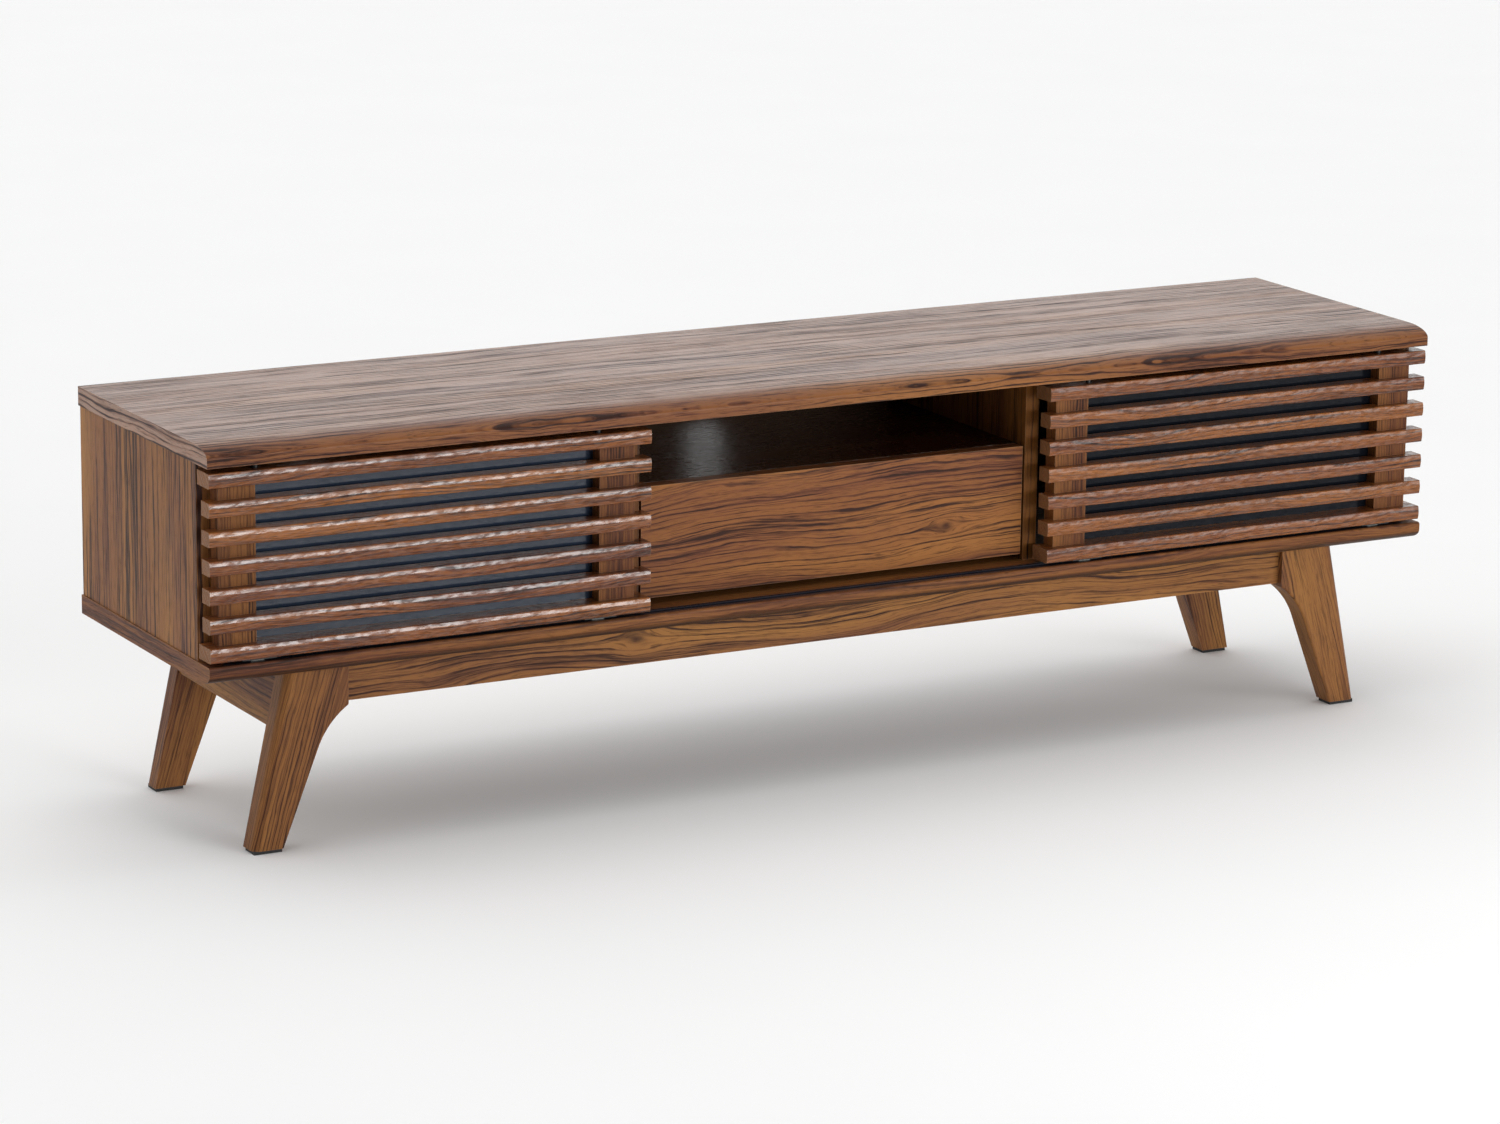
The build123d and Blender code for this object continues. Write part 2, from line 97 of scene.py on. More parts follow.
def noise(tree, vector, scale, detail=2.0, roughness=0.5):
    return add(tree, "ShaderNodeTexNoise", {"Vector": vector, "Scale": scale, "Detail": detail,
                                            "Roughness": roughness}).outputs["Fac"]


def group(name, inputs, outputs):
    """A new shader group and its input and output nodes."""
    tree = bpy.data.node_groups.new(name, "ShaderNodeTree")
    for socket, kind, value in inputs:
        made = tree.interface.new_socket(socket, in_out="INPUT", socket_type=kind)
        if value is not None:
            made.default_value = value
    for socket, kind in outputs:
        tree.interface.new_socket(socket, in_out="OUTPUT", socket_type=kind)
    return tree, tree.nodes.new("NodeGroupInput").outputs, tree.nodes.new("NodeGroupOutput").inputs


def use(tree, made, sockets):
    placed = add(tree, "ShaderNodeGroup", node_tree=made)
    for name, value in sockets.items():
        if isinstance(value, bpy.types.NodeSocket):
            tree.links.new(value, placed.inputs[name])
        else:
            placed.inputs[name].default_value = value
    return placed.outputs


# ---------------------------------------------------------------- shared groups
def make_walnut_grain():
    """Walnut figure in grain space: X runs along the grain and Y across it, in metres; Z only picks the board."""
    tree, given, out = group(
        "walnut_grain",
        [("Grain space", "NodeSocketVector", None), ("Ring spacing", "NodeSocketFloat", 0.008),
         ("Heart depth", "NodeSocketFloat", 0.05), ("Wander", "NodeSocketFloat", 0.03),
         ("Contrast", "NodeSocketFloat", 1.0), ("Knot along", "NodeSocketFloat", 9.0),
         ("Knot across", "NodeSocketFloat", 9.0), ("Knot size", "NodeSocketFloat", 0.01),
         ("Light", "NodeSocketColor", (0.3, 0.13, 0.05, 1)), ("Middle", "NodeSocketColor", (0.15, 0.06, 0.025, 1)),
         ("Dark", "NodeSocketColor", (0.03, 0.012, 0.006, 1)), ("Red", "NodeSocketColor", (0.16, 0.04, 0.02, 1))],
        [("Color", "NodeSocketColor"), ("Figure", "NodeSocketFloat"), ("Height", "NodeSocketFloat"),
         ("Pores", "NodeSocketFloat")])
    apart = add(tree, "ShaderNodeSeparateXYZ", {0: given["Grain space"]}).outputs
    along, across, board = apart[0], apart[1], apart[2]

    def stretched(along_scale, across_scale, shift, detail=2.0, roughness=0.5, spread_over=across):
        seed = maths(tree, "ADD", maths(tree, "MULTIPLY", board, 7.3), shift)
        where = point(tree, maths(tree, "MULTIPLY", along, along_scale),
                      maths(tree, "MULTIPLY", spread_over, across_scale), seed)
        return noise(tree, where, 1.0, detail, roughness)

    # The grain lines drift slowly, and shake a little, along the board.
    drift = maths(tree, "MULTIPLY", maths(tree, "SUBTRACT", stretched(3.2, 7.0, 0.0, 1.0), 0.5), given["Wander"])
    shake = maths(tree, "MULTIPLY", maths(tree, "SUBTRACT", stretched(16.0, 70.0, 3.1), 0.5), 0.007)
    bent = maths(tree, "ADD", across, maths(tree, "ADD", drift, shake))

    # The lines part round a knot, which is dark at its middle.
    from_knot = maths(tree, "DIVIDE", maths(tree, "SUBTRACT", bent, given["Knot across"]), given["Knot size"])
    past_knot = maths(tree, "DIVIDE", maths(tree, "SUBTRACT", along, given["Knot along"]), given["Knot size"])
    reach = maths(tree, "ADD", maths(tree, "POWER", from_knot, 2.0),
                  maths(tree, "POWER", maths(tree, "MULTIPLY", past_knot, 0.4), 2.0))
    near_knot = maths(tree, "EXPONENT", maths(tree, "MULTIPLY", reach, -0.35))
    aside = maths(tree, "MINIMUM", maths(tree, "MAXIMUM", from_knot, -1.0), 1.0)
    parting = maths(tree, "MULTIPLY", maths(tree, "MULTIPLY", near_knot, given["Knot size"]),
                    maths(tree, "TANGENT", maths(tree, "MULTIPLY", aside, 0.9)))
    bent = maths(tree, "SUBTRACT", bent, parting)
    knot_heart = maths(tree, "EXPONENT", maths(tree, "MULTIPLY", reach, -6.0))

    # Growth rings cut by the face of the board, round a heart that comes nearer and goes.
    heart = maths(tree, "SUBTRACT", stretched(1.6, 0.0, 5.7, 1.0), 0.5)
    depth = maths(tree, "MULTIPLY", given["Heart depth"],
                  maths(tree, "ADD", maths(tree, "MULTIPLY", heart, 4.0), 0.25))
    pith = maths(tree, "MULTIPLY", maths(tree, "SUBTRACT", stretched(0.0, 0.0, 9.4), 0.5), 0.25)
    from_pith = maths(tree, "SUBTRACT", bent, pith)
    radius = maths(tree, "SQRT", maths(tree, "ADD", maths(tree, "POWER", from_pith, 2.0),
                                       maths(tree, "POWER", depth, 2.0)))
    bunching = maths(tree, "MULTIPLY", stretched(0.6, 16.0, 12.9), 3.0)
    turns = maths(tree, "ADD", maths(tree, "DIVIDE", radius, given["Ring spacing"]), bunching)
    ring = ramp(tree, maths(tree, "FRACT", turns),
                [(0.0, grey(0.9)), (0.08, grey(0.2)), (0.40, grey(0.0)), (0.80, grey(0.3)), (1.0, grey(0.9))])
    ring_strength = spread(tree, stretched(3.0, 16.0, 21.0), 0.35, 0.65, 0.15, 1.0)

    # Stripes, dashes of dark fibre and pores.
    stripe = spread(tree, stretched(1.4, 85.0, 41.0, 3.0, 0.6, bent), 0.30, 0.70, 0.0, 1.0)
    dash = spread(tree, stretched(15.0, 480.0, 33.0, 3.0, 0.6, bent), 0.46, 0.66, 0.0, 1.0)
    fibre = spread(tree, stretched(5.0, 330.0, 31.0, 3.0, 0.65, bent), 0.28, 0.72, 0.0, 1.0)
    pore = spread(tree, stretched(60.0, 1500.0, 61.0, 1.0, 0.5, bent), 0.58, 0.68, 0.0, 1.0)
    gold = spread(tree, stretched(1.2, 24.0, 71.0, 2.0, 0.5, bent), 0.40, 0.62, 0.0, 1.0)
    tone = spread(tree, stretched(1.5, 17.0, 51.0, 2.0, 0.5, bent), 0.40, 0.62, 0.0, 1.0)

    fine = maths(tree, "ADD", maths(tree, "MULTIPLY", fibre, 0.34), maths(tree, "MULTIPLY", dash, 0.22))
    broad = maths(tree, "ADD", maths(tree, "MULTIPLY", stripe, 0.34), fine)
    rings = maths(tree, "MULTIPLY", maths(tree, "MULTIPLY", ring, ring_strength), 0.50)
    figure = maths(tree, "ADD", rings, broad)
    figure = maths(tree, "MULTIPLY", maths(tree, "SUBTRACT", figure, 0.50), given["Contrast"])
    ground = blend(tree, gold, given["Middle"], given["Light"])
    ground = blend(tree, maths(tree, "MULTIPLY", tone, 0.8), ground, given["Red"])
    lit = blend(tree, spread(tree, figure, -0.32, 0.05, 0.45, 0.0), ground, given["Light"])
    color = blend(tree, spread(tree, figure, -0.08, 0.55, 0.0, 1.0), lit, given["Dark"])
    color = blend(tree, maths(tree, "MULTIPLY", pore, 0.5), color, given["Dark"])
    color = blend(tree, maths(tree, "MULTIPLY", knot_heart, 0.85), color, given["Dark"])
    tree.links.new(color, out["Color"])
    tree.links.new(maths(tree, "SUBTRACT", maths(tree, "MULTIPLY", fibre, 0.4), pore), out["Height"])
    tree.links.new(pore, out["Pores"])
    tree.links.new(figure, out["Figure"])
    return tree


def make_smudges():
    """Faint handling marks and settled dust: a soft mask for roughness and a speckle for dust."""
    tree, given, out = group("smudges_and_dust", [("Position", "NodeSocketVector", None)],
                             [("Smudge", "NodeSocketFloat"), ("Dust", "NodeSocketFloat")])
    broad = spread(tree, noise(tree, given["Position"], 6.0, 4.0, 0.6), 0.35, 0.7, 0.0, 1.0)
    fine = spread(tree, noise(tree, given["Position"], 900.0, 2.0, 0.5), 0.66, 0.78, 0.0, 1.0)
    tree.links.new(broad, out["Smudge"])
    tree.links.new(maths(tree, "MULTIPLY", fine, broad), out["Dust"])
    return tree


def make_edge_wear_and_highlight():
    """A mask along sharp edges, broken up by noise, where the colour is lightened: a painted highlight where light
    catches the edges, together with some wear of the finish.
    """
    tree, given, out = group(
        "edge_wear_and_highlight", [("Position", "NodeSocketVector", None), ("Width", "NodeSocketFloat", 0.001)],
        [("Mask", "NodeSocketFloat")])
    rounded = add(tree, "ShaderNodeBevel", {"Radius": given["Width"]}, samples=4).outputs["Normal"]
    true = add(tree, "ShaderNodeNewGeometry").outputs["Normal"]
    facing = add(tree, "ShaderNodeVectorMath", {0: rounded, 1: true}, operation="DOT_PRODUCT").outputs["Value"]
    edge = spread(tree, facing, 0.99, 0.80, 0.0, 1.0)
    broken = spread(tree, noise(tree, given["Position"], 35.0, 4.0, 0.6), 0.35, 0.60, 0.35, 1.0)
    tree.links.new(maths(tree, "MULTIPLY", edge, broken), out["Mask"])
    return tree


walnut_grain = make_walnut_grain()
smudges = make_smudges()
edge_wear_and_highlight = make_edge_wear_and_highlight()


# ---------------------------------------------------------------- materials
def new_material(name):
    made = bpy.data.materials.new(name)
    made.use_nodes = True
    tree = made.node_tree
    shader = tree.nodes["Principled BSDF"]
    return made, tree, shader


def grain_space(tree, position, facing, along, shift, pairs=False, lean=0.0, banded_ends=False):
    """Grain space for a board whose grain runs along a row axis, with the figure wrapping round its long edges.

    pairs is for a left and a right board that share the material, and lean turns the grain with a splayed leg."""
    apart = add(tree, "ShaderNodeSeparateXYZ", {0: position}).outputs
    x, y, z = apart[0], apart[1], apart[2]
    board = shift
    if pairs:
        board = maths(tree, "ADD", maths(tree, "MULTIPLY", maths(tree, "SIGN", x), 1.7), shift)
    if along == "X":
        space = point(tree, x, maths(tree, "SUBTRACT", y, z), board)
    elif along == "Y":
        space = point(tree, y, maths(tree, "ADD", z, x), board)
    else:
        out_x = maths(tree, "ABSOLUTE", x)
        turned = maths(tree, "ADD", maths(tree, "MULTIPLY", out_x, math.cos(lean)),
                       maths(tree, "MULTIPLY", z, math.sin(lean)))
        rise = maths(tree, "SUBTRACT", maths(tree, "MULTIPLY", z, math.cos(lean)),
                     maths(tree, "MULTIPLY", out_x, math.sin(lean)))
        space = point(tree, rise, maths(tree, "ADD", turned, y), board)
    if banded_ends:
        end = maths(tree, "GREATER_THAN", maths(tree, "ABSOLUTE", add(
            tree, "ShaderNodeSeparateXYZ", {0: facing}).outputs[0]), 0.7)
        band = point(tree, y, z, shift + 3.3)
        chosen = add(tree, "ShaderNodeMix", {0: end}, data_type="VECTOR")
        tree.links.new(space, chosen.inputs[4])
        tree.links.new(band, chosen.inputs[5])
        space = chosen.outputs[1]
    return space


WALNUT = {
    "Light": (0.330, 0.146, 0.040, 1), "Middle": (0.198, 0.077, 0.025, 1),
    "Dark": (0.034, 0.013, 0.008, 1), "Red": (0.135, 0.046, 0.027, 1),
}

# The light colour of the painted edge highlight, with some wear of the finish.
EDGE_COLOR = (0.52, 0.33, 0.19, 1)


def walnut(name, along, shift, spacing=0.009, heart=0.05, wander=0.03, contrast=1.3, roughness=0.42, specular=0.14,
           coat=0.0, coat_roughness=0.12, sheen_in_grain=0.0, edge_light=0.35, bump=0.15, tint=None, pairs=False,
           lean=0.0, banded_ends=False, cut_ends=False, dull_front=False, painted_under_shade=False, ripple=0.0,
           knot=(9.0, 9.0, 0.01)):
    """Walnut on a board whose grain runs along a row axis; shift picks the board, so no two look alike.

    cut_ends shows sawn end grain, banded_ends an edge band, dull_front a front edge without the polish of the face,
    and a last flag paints shade on the underside."""
    made, tree, shader = new_material(name)
    where = add(tree, "ShaderNodeTexCoord").outputs
    position, facing = where["Object"], where["Normal"]
    space = grain_space(tree, position, facing, along, shift, pairs, lean, banded_ends)
    grain = use(tree, walnut_grain, {"Grain space": space, "Ring spacing": spacing, "Heart depth": heart,
                                     "Wander": wander, "Contrast": contrast, "Knot along": knot[0],
                                     "Knot across": knot[1], "Knot size": knot[2], **WALNUT})
    marks = use(tree, smudges, {"Position": position})
    color, gloss = grain["Color"], coat
    faces = add(tree, "ShaderNodeSeparateXYZ", {0: facing}).outputs
    if sheen_in_grain:
        gloss = spread(tree, grain["Figure"], -0.35, 0.40, coat, coat * (1 - sheen_in_grain))
    if dull_front:
        gloss = maths(tree, "MULTIPLY", gloss, spread(tree, faces[1], -0.04, -0.28, 1.0, 0.12))
    if cut_ends:
        end = maths(tree, "GREATER_THAN", maths(tree, "ABSOLUTE", faces[0]), 0.8)
        speck = ramp(tree, noise(tree, position, 900.0, 3.0, 0.7),
                     [(0.3, (0.15, 0.078, 0.040, 1)), (0.7, (0.31, 0.180, 0.095, 1))])
        color = blend(tree, end, color, speck)
        gloss = maths(tree, "MULTIPLY", gloss, maths(tree, "SUBTRACT", 1.0, end))
    if tint:
        color = blend(tree, 1.0, color, tint, "MULTIPLY")
    # Painted shade: faces turned downwards are darkened towards near-black, standing in for the shadow under the
    # bottom panel.
    if painted_under_shade:
        color = blend(tree, spread(tree, faces[2], -0.15, -0.75, 0.0, 0.72), color, (0.010, 0.005, 0.003, 1))
    # Painted highlight with some wear: the colour is lightened along sharp edges.
    highlight_and_wear_mask = use(tree, edge_wear_and_highlight, {"Position": position})["Mask"]
    color = blend(tree, maths(tree, "MULTIPLY", highlight_and_wear_mask, edge_light), color, EDGE_COLOR)
    tree.links.new(color, shader.inputs["Base Color"])
    rough = maths(tree, "ADD", maths(tree, "MULTIPLY", marks["Smudge"], 0.06),
                  maths(tree, "ADD", maths(tree, "MULTIPLY", grain["Pores"], 0.15), roughness))
    tree.links.new(rough, shader.inputs["Roughness"])
    shader.inputs["Specular IOR Level"].default_value = specular
    height = grain["Height"]
    if ripple:
        split = add(tree, "ShaderNodeSeparateXYZ", {0: space}).outputs
        slant = maths(tree, "ADD", maths(tree, "MULTIPLY", split[0], 110.0), maths(tree, "MULTIPLY", split[1], 160.0))
        wave = noise(tree, point(tree, slant, maths(tree, "MULTIPLY", split[1], 340.0), split[2]), 1.0, 2.0)
        height = maths(tree, "ADD", height, maths(tree, "MULTIPLY", wave, ripple))
        gloss = maths(tree, "MULTIPLY", gloss, spread(tree, wave, 0.40, 0.60, 0.25, 1.0))
    if coat:
        shader.inputs["Coat Roughness"].default_value = coat_roughness
        tree.links.new(gloss, shader.inputs["Coat Weight"])
    relief = add(tree, "ShaderNodeBump", {"Strength": bump, "Distance": 0.0006, "Height": height})
    tree.links.new(relief.outputs["Normal"], shader.inputs["Normal"])
    return made


def moulded(name, color, roughness, spread_to, specular=0.5, grain_scale=1800.0, bump=0.05):
    """Moulded plastic or rubber: a fine texture, slightly mottled."""
    made, tree, shader = new_material(name)
    position = add(tree, "ShaderNodeTexCoord").outputs["Object"]
    marks = use(tree, smudges, {"Position": position})
    fine = noise(tree, position, grain_scale, 2.0)
    tree.links.new(ramp(tree, marks["Smudge"], [(0.0, color), (1.0, tuple(c * 1.25 for c in color[:3]) + (1.0,))]),
                   shader.inputs["Base Color"])
    tree.links.new(spread(tree, marks["Smudge"], 0.0, 1.0, roughness, spread_to), shader.inputs["Roughness"])
    shader.inputs["Specular IOR Level"].default_value = specular
    relief = add(tree, "ShaderNodeBump", {"Strength": bump, "Distance": 0.0003, "Height": fine})
    tree.links.new(relief.outputs["Normal"], shader.inputs["Normal"])
    return made


def gloss_panel(name, color, specular):
    """A dark panel with a polished face, faintly smudged; the right door's copy has a darker colour and less gloss
    than the left's, which is painted shade.
    """
    made, tree, shader = new_material(name)
    position = add(tree, "ShaderNodeTexCoord").outputs["Object"]
    marks = use(tree, smudges, {"Position": position})
    tree.links.new(ramp(tree, marks["Smudge"], [(0.0, color), (1.0, tuple(1.35 * part for part in color))]),
                   shader.inputs["Base Color"])
    tree.links.new(spread(tree, marks["Smudge"], 0.0, 1.0, 0.10, 0.16), shader.inputs["Roughness"])
    shader.inputs["Specular IOR Level"].default_value = specular
    wave = noise(tree, position, 9.0, 1.0)
    relief = add(tree, "ShaderNodeBump", {"Strength": 0.05, "Distance": 0.002, "Height": wave})
    tree.links.new(relief.outputs["Normal"], shader.inputs["Normal"])
    return made


def zinc_steel():
    made, tree, shader = new_material("zinc_plated_steel")
    position = add(tree, "ShaderNodeTexCoord").outputs["Object"]
    drawn_out = add(tree, "ShaderNodeMapping", {"Vector": position, "Scale": (900.0, 30.0, 900.0)}).outputs[0]
    brushed = noise(tree, drawn_out, 1.0, 2.0)
    shader.inputs["Metallic"].default_value = 1.0
    tree.links.new(ramp(tree, brushed, [(0.3, (0.50, 0.50, 0.52, 1)), (0.7, (0.66, 0.66, 0.67, 1))]),
                   shader.inputs["Base Color"])
    tree.links.new(spread(tree, brushed, 0.2, 0.8, 0.28, 0.42), shader.inputs["Roughness"])
    return made


def hardboard():
    """Back panel: brown hardboard with a fine woven texture."""
    made, tree, shader = new_material("brown_hardboard")
    position = add(tree, "ShaderNodeTexCoord").outputs["Object"]
    fleck = noise(tree, position, 260.0, 5.0, 0.7)
    marks = use(tree, smudges, {"Position": position})
    color = ramp(tree, fleck, [(0.30, (0.075, 0.036, 0.018, 1)), (0.50, (0.125, 0.065, 0.034, 1)),
                               (0.72, (0.200, 0.115, 0.062, 1))])
    tree.links.new(blend(tree, maths(tree, "MULTIPLY", marks["Dust"], 0.4), color, (0.25, 0.20, 0.16, 1)),
                   shader.inputs["Base Color"])
    tree.links.new(spread(tree, marks["Smudge"], 0.0, 1.0, 0.62, 0.75), shader.inputs["Roughness"])
    relief = add(tree, "ShaderNodeBump", {"Strength": 0.2, "Distance": 0.0005, "Height": fleck})
    tree.links.new(relief.outputs["Normal"], shader.inputs["Normal"])
    return made


def plain_timber():
    made, tree, shader = new_material("sawn_poplar")
    where = add(tree, "ShaderNodeTexCoord").outputs
    space = grain_space(tree, where["Object"], where["Normal"], "X", 8.0)
    grain = use(tree, walnut_grain, {"Grain space": space, "Ring spacing": 0.006, "Light": (0.60, 0.42, 0.24, 1),
                                     "Middle": (0.48, 0.32, 0.17, 1), "Dark": (0.25, 0.15, 0.08, 1),
                                     "Red": (0.50, 0.30, 0.15, 1)})
    tree.links.new(grain["Color"], shader.inputs["Base Color"])
    tree.links.new(spread(tree, grain["Pores"], 0.0, 1.0, 0.6, 0.8), shader.inputs["Roughness"])
    relief = add(tree, "ShaderNodeBump", {"Strength": 0.4, "Distance": 0.0008, "Height": grain["Height"]})
    tree.links.new(relief.outputs["Normal"], shader.inputs["Normal"])
    return made


LEG_LEAN = math.radians(16.5)
finishes = {
    "top_foil": walnut("walnut_top", "X", 0.0, spacing=0.007, heart=0.06, contrast=2.9, coat=0.85,
                       coat_roughness=0.22, sheen_in_grain=0.95, bump=0.4, tint=(0.86, 0.77, 0.78, 1),
                       banded_ends=True, dull_front=True),
    "bottom_foil": walnut("walnut_bottom", "X", 2.0, contrast=1.5, tint=(0.86, 0.80, 0.76, 1), banded_ends=True,
                          painted_under_shade=True),
    "upright_foil": walnut("walnut_uprights", "Z", 4.0, spacing=0.013, heart=0.02, wander=0.012, contrast=3.8,
                           pairs=True),
    # The dividers' tint darkens them: painted shade on their faces inside the niche.
    "divider_foil_painted_shade": walnut("walnut_dividers_painted_shade", "Z", 5.0, spacing=0.013, heart=0.02, wander=0.012, contrast=2.0,
                           pairs=True, tint=(0.52, 0.44, 0.32, 1)),
    # The shelf's tint darkens it to a fraction of the other walnut: painted shade of the niche under the top.
    "shelf_foil_painted_shade": walnut("walnut_shelf_painted_shade", "X", 6.0, roughness=0.24, specular=0.3, bump=0.35, ripple=6.0,
                         tint=(0.14, 0.10, 0.09, 1)),
    "drawer_foil": walnut("walnut_drawer_front", "X", 9.0, spacing=0.007, heart=0.06, wander=0.05, contrast=2.6,
                          tint=(1.0, 0.90, 0.86, 1), edge_light=0.6, knot=(0.150, -0.4205, 0.007)),
    "slat_lacquer": walnut("walnut_slats", "X", 12.0, spacing=0.006, wander=0.05, contrast=1.9, roughness=0.34,
                           coat=1.0, coat_roughness=0.10, tint=(1.0, 0.79, 0.62, 1), cut_ends=True, pairs=True,
                           bump=0.8, ripple=5.0),
    "stile_lacquer": walnut("walnut_stiles", "Z", 15.0, spacing=0.004, wander=0.008, contrast=1.7, pairs=True,
                            tint=(0.78, 0.70, 0.70, 1)),
    "apron_foil": walnut("walnut_aprons", "X", 18.0, spacing=0.008, heart=0.07, wander=0.08, contrast=2.2,
                         knot=(-0.26, -0.335, 0.010)),
    "side_apron_foil": walnut("walnut_side_aprons", "Y", 21.0, pairs=True),
    "leg_lacquer": walnut("walnut_legs", "Z", 24.0, spacing=0.0045, heart=0.02, wander=0.010, contrast=1.5,
                          lean=LEG_LEAN, pairs=True),
    "drawer_foil_inside": walnut("walnut_drawer_box", "Y", 27.0, roughness=0.5),
    "drawer_back_foil": walnut("walnut_drawer_back", "X", 28.0, roughness=0.5),
    "hardboard": hardboard(),
    "timber": plain_timber(),
    "gloss_panel": gloss_panel("smoked_gloss_panel", (0.022, 0.033, 0.056), 0.5),
    # The right door's panel is the same panel as the left's, with painted shade: a darker colour and a weaker
    # reflection.
    "gloss_panel_painted_shade": gloss_panel("gloss_panel_painted_shade", (0.007, 0.009, 0.013), 0.16),
    "track": moulded("track_plastic", (0.012, 0.013, 0.022, 1), 0.25, 0.4),
    "fitting": moulded("fitting_plastic", (0.015, 0.015, 0.016, 1), 0.35, 0.5),
    "roller": moulded("roller_nylon", (0.45, 0.45, 0.42, 1), 0.3, 0.4),
    "foot": moulded("foot_rubber", (0.012, 0.012, 0.012, 1), 0.6, 0.8, bump=0.3),
    "steel": zinc_steel(),
    "cap_plastic": moulded("brown_cap_plastic", (0.10, 0.045, 0.022, 1), 0.35, 0.5),
}


def finish_of(node):
    exact = {
        "top_panel": "top_foil", "bottom_panel": "bottom_foil", "centre_shelf": "shelf_foil_painted_shade",
        "back_panel": "hardboard", "upper_track": "track", "lower_track": "track", "cam_locks": "steel",
        "runner_rails": "steel", "drawer_slides": "steel", "ball_cages": "steel", "corner_bolts": "steel",
        "corner_blocks": "timber", "foot_pads": "foot", "front_apron": "apron_foil", "back_apron": "apron_foil",
        "left_apron": "side_apron_foil", "right_apron": "side_apron_foil", "drawer_front": "drawer_foil",
        "drawer_back": "drawer_back_foil", "right_door_panel": "gloss_panel_painted_shade",
    }
    endings = {
        "_side_panel": "upright_foil", "_divider": "divider_foil_painted_shade", "_leg": "leg_lacquer", "_stile": "stile_lacquer",
        "_door_panel": "gloss_panel", "_fittings": "fitting", "_guide_pin": "fitting", "_roller": "roller",
    }
    if node in exact:
        return exact[node]
    for ending, finish in endings.items():
        if node.endswith(ending):
            return finish
    return "drawer_foil_inside" if node.startswith("drawer_") else "slat_lacquer"


for name, item in nodes.items():
    item.data.materials.clear()
    item.data.materials.append(finishes[finish_of(name)])


# ---------------------------------------------------------------- small hardware
def alone(piece):
    bpy.ops.object.select_all(action="DESELECT")
    piece.select_set(True)
    bpy.context.view_layer.objects.active = piece


def editing(piece, choose, act):
    """Selects the faces of a piece that choose accepts, and acts on them in edit mode."""
    alone(piece)
    bpy.ops.object.mode_set(mode="EDIT")
    bpy.ops.mesh.select_mode(type="FACE")
    bpy.ops.mesh.select_all(action="DESELECT")
    shape = bmesh.from_edit_mesh(piece.data)
    for face in shape.faces:
        face.select = choose(face)
    bmesh.update_edit_mesh(piece.data)
    act()
    bpy.ops.object.mode_set(mode="OBJECT")


def faces_up(face):
    return face.normal.z > 0.9


def cut_away(piece, cutter):
    """Takes the cutter's shape out of a piece."""
    alone(piece)
    taken = piece.modifiers.new("recess", "BOOLEAN")
    taken.operation, taken.solver, taken.object = "DIFFERENCE", "EXACT", cutter
    bpy.ops.object.modifier_apply(modifier=taken.name)
    bpy.data.objects.remove(cutter)


def recess_blade(length, width, depth, top, turn):
    """One blade of a cross recess, tapered to its bottom."""
    bpy.ops.object.select_all(action="DESELECT")
    bpy.ops.mesh.primitive_cube_add(size=1, location=(0, 0, top), rotation=(0, 0, turn),
                                    scale=(length, width, 2 * depth))
    blade = bpy.context.object
    editing(blade, lambda face: face.normal.z < -0.9,
            lambda: bpy.ops.transform.resize(value=(0.45, 0.45, 1), center_override=(0, 0, top)))
    return blade


def cross_head(name, radius, height, crown, recess):
    """A round head that stands on Z = 0, with an eased rim and a cross recess."""
    bpy.ops.object.select_all(action="DESELECT")
    bpy.ops.mesh.primitive_cylinder_add(vertices=24, radius=radius, depth=height, location=(0, 0, height / 2))
    head = bpy.context.object
    head.name = name
    bpy.ops.object.transform_apply(location=True, rotation=True, scale=True)
    editing(head, faces_up, lambda: bpy.ops.mesh.bevel(offset=crown, segments=3, affect="EDGES"))
    for turn in (0, math.pi / 2):
        cut_away(head, recess_blade(2 * recess, 0.36 * recess, 0.75 * height, height, turn))
    alone(head)
    bpy.ops.object.shade_smooth_by_angle(angle=math.radians(35))
    return head


def set_out(pattern, name, places, finish, body):
    """One piece made of a copy of the pattern at each place; a place is a point and the direction it faces."""
    made = []
    for number, (spot, facing) in enumerate(places):
        each = bpy.data.objects.new(f"{name}_{number}", pattern.data.copy())
        bpy.context.collection.objects.link(each)
        turn = Vector(facing).to_track_quat("Z", "Y").to_matrix().to_4x4()
        spin = Matrix.Rotation(math.radians(37 * number), 4, "Z")
        each.data.transform(Matrix.Translation(spot) @ turn @ spin)
        made.append(each)
    bpy.data.objects.remove(pattern)
    alone(made[0])
    for each in made:
        each.select_set(True)
    bpy.ops.object.join()
    joined = bpy.context.object
    joined.name = name
    joined.data.materials.clear()
    joined.data.materials.append(finishes[finish])
    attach(joined, body)
    return joined


def loose_parts(node):
    """The lowest and highest corner of each separate part of a node."""
    shape = bmesh.new()
    shape.from_mesh(nodes[node].data)
    bmesh.ops.remove_doubles(shape, verts=shape.verts, dist=1e-5)
    left, parts = set(shape.verts), []
    while left:
        reached, part = [left.pop()], []
        while reached:
            vertex = reached.pop()
            part.append(vertex.co.copy())
            for edge in vertex.link_edges:
                near = edge.other_vert(vertex)
                if near in left:
                    left.remove(near)
                    reached.append(near)
        parts.append((Vector(map(min, zip(*part))), Vector(map(max, zip(*part)))))
    shape.free()
    return sorted(parts, key=lambda part: tuple(part[0]))


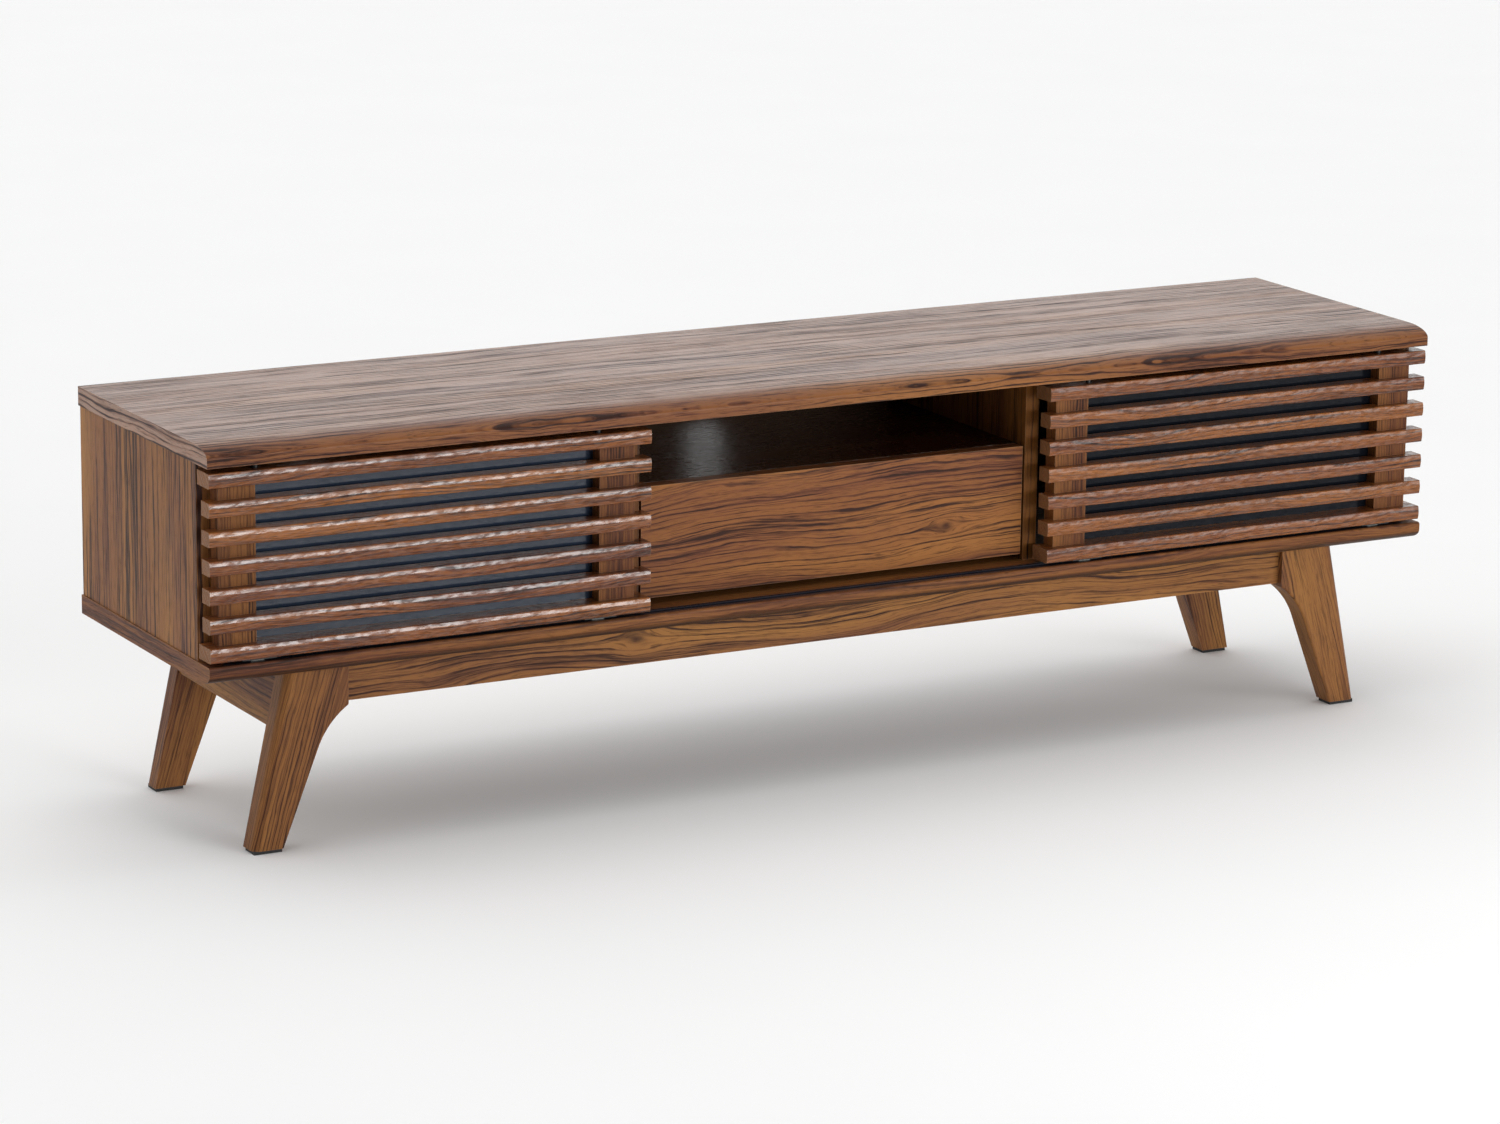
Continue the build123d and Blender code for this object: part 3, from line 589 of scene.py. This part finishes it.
def back_screw_places():
    """Screws through the back panel into the sides, the dividers and the centre shelf."""
    sheet_low, sheet_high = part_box("back_panel")
    places = []
    heights = [sheet_low.z + share * (sheet_high.z - sheet_low.z) for share in (0.07, 0.5, 0.93)]
    for board, lap in (("left_side_panel", 5 * MM), ("right_side_panel", 5 * MM), ("left_divider", 0),
                       ("right_divider", 0)):
        board_low, board_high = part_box(board)
        x = (board_low.x + board_high.x) / 2
        if lap:
            x = (sheet_low.x + lap) if x < 0 else (sheet_high.x - lap)
        places += [((x, sheet_high.y, z), (0, 1, 0)) for z in heights]
    shelf_low, shelf_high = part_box("centre_shelf")
    shelf_z = (shelf_low.z + shelf_high.z) / 2
    places += [((x, sheet_high.y, shelf_z), (0, 1, 0)) for x in (-120 * MM, 120 * MM)]
    return places


def cam_cap_places():
    """The mouth of every cam lock: the middle of a short round part, on the face that it opens in."""
    places = []
    for part_low, part_high in loose_parts("cam_locks"):
        size, centre = part_high - part_low, (part_low + part_high) / 2
        if max(size) > 16 * MM or min(size) < 10 * MM:
            continue
        if abs(size.x - size.y) < MM / 10:
            places.append(((centre.x, centre.y, part_low.z), (0, 0, -1)))
        else:
            board = "divider" if abs(centre.x) < 0.5 else "side_panel"
            inward = -1 if (centre.x < 0) == (board == "divider") else 1
            mouth_x = part_high.x if inward > 0 else part_low.x
            places.append(((mouth_x, centre.y, centre.z), (inward, 0, 0)))
    return places


screw = cross_head("screw_pattern", radius=3.2 * MM, height=1.8 * MM, crown=0.7 * MM, recess=1.7 * MM)
set_out(screw, "back_panel_screws", back_screw_places(), "steel", "carcass")
cap = cross_head("cap_pattern", radius=8.4 * MM, height=0.9 * MM, crown=0.4 * MM, recess=2.2 * MM)
set_out(cap, "cam_caps", cam_cap_places(), "cap_plastic", "carcass")


# ---------------------------------------------------------------- stage, light and camera
def add_floor():
    bpy.ops.mesh.primitive_plane_add(size=40, location=(0, 0, 0))
    floor = bpy.context.object
    floor.name = "studio_floor"
    made, tree, shader = new_material("studio_floor")
    tone = noise(tree, add(tree, "ShaderNodeTexCoord").outputs["Object"], 3.0)
    tree.links.new(ramp(tree, tone, [(0.0, grey(0.93)), (1.0, grey(0.95))]), shader.inputs["Base Color"])
    shader.inputs["Roughness"].default_value = 0.9
    shader.inputs["Specular IOR Level"].default_value = 0.1
    floor.data.materials.append(made)


def add_world():
    """A bright backdrop behind, beside and above the cabinet, and a dimmer room in front of it."""
    world = bpy.data.worlds.new("studio")
    world.use_nodes = True
    tree = world.node_tree
    apart = add(tree, "ShaderNodeSeparateXYZ", {0: add(tree, "ShaderNodeTexCoord").outputs["Generated"]}).outputs
    behind = maths(tree, "SUBTRACT", apart[1], maths(tree, "MULTIPLY", apart[0], 0.10))
    room = spread(tree, behind, -0.50, -0.05, 0.0, 1.0)
    shade = ramp(tree, room, [(0.0, grey(0.20)), (1.0, grey(1.0))], smooth=True)
    tree.links.new(shade, tree.nodes["Background"].inputs["Color"])
    tree.nodes["Background"].inputs["Strength"].default_value = 1.05
    bpy.context.scene.world = world


def add_silk(name, power, elevation, azimuth, angle):
    """Even light from far away, like a large sheet of silk lit from behind."""
    tilt = math.radians(90 - elevation)
    bpy.ops.object.light_add(type="SUN", rotation=(tilt, 0, math.radians(azimuth)))
    lamp = bpy.context.object
    lamp.name = name
    lamp.data.energy = power
    lamp.data.angle = math.radians(angle)


def add_softbox(name, place, aim, width, height, power, cone):
    """A lamp that the camera doesn't see, shining in a cone so that it doesn't draw its edge on the floor."""
    bpy.ops.object.light_add(type="AREA", location=place)
    lamp = bpy.context.object
    lamp.name = name
    lamp.data.shape = "RECTANGLE"
    lamp.data.size, lamp.data.size_y = width, height
    lamp.data.energy = power
    lamp.data.spread = math.radians(cone)
    lamp.visible_camera = False
    lamp.rotation_euler = (Vector(aim) - Vector(place)).to_track_quat("-Z", "Y").to_euler()


def add_camera(place, azimuth, elevation, roll, lens):
    turn = Matrix.Rotation(math.radians(azimuth), 3, "Z")
    turn @= Matrix.Rotation(math.radians(90 - elevation), 3, "X")
    turn @= Matrix.Rotation(math.radians(roll), 3, "Z")
    bpy.ops.object.camera_add(location=place)
    camera = bpy.context.object
    camera.name = "front_left_camera"
    camera.rotation_euler = turn.to_euler()
    camera.data.lens = lens
    camera.data.sensor_width = 36
    camera.data.clip_end = 100
    bpy.context.scene.camera = camera


add_floor()
add_world()
add_silk("overhead_silk", power=0.5, elevation=86, azimuth=0, angle=70)
add_silk("front_silk", power=1.1, elevation=10, azimuth=30, angle=40)
add_softbox("slat_softbox", place=(0.75, -3.0, 0.60), aim=(0.2, 0, 0.32), width=1.3, height=0.60, power=4.3, cone=70)
add_camera(place=(-2.8987, -5.1715, 1.6557), azimuth=-28.99, elevation=13.6, roll=0.75, lens=123.93)
bpy.context.scene.view_settings.view_transform = "Standard"
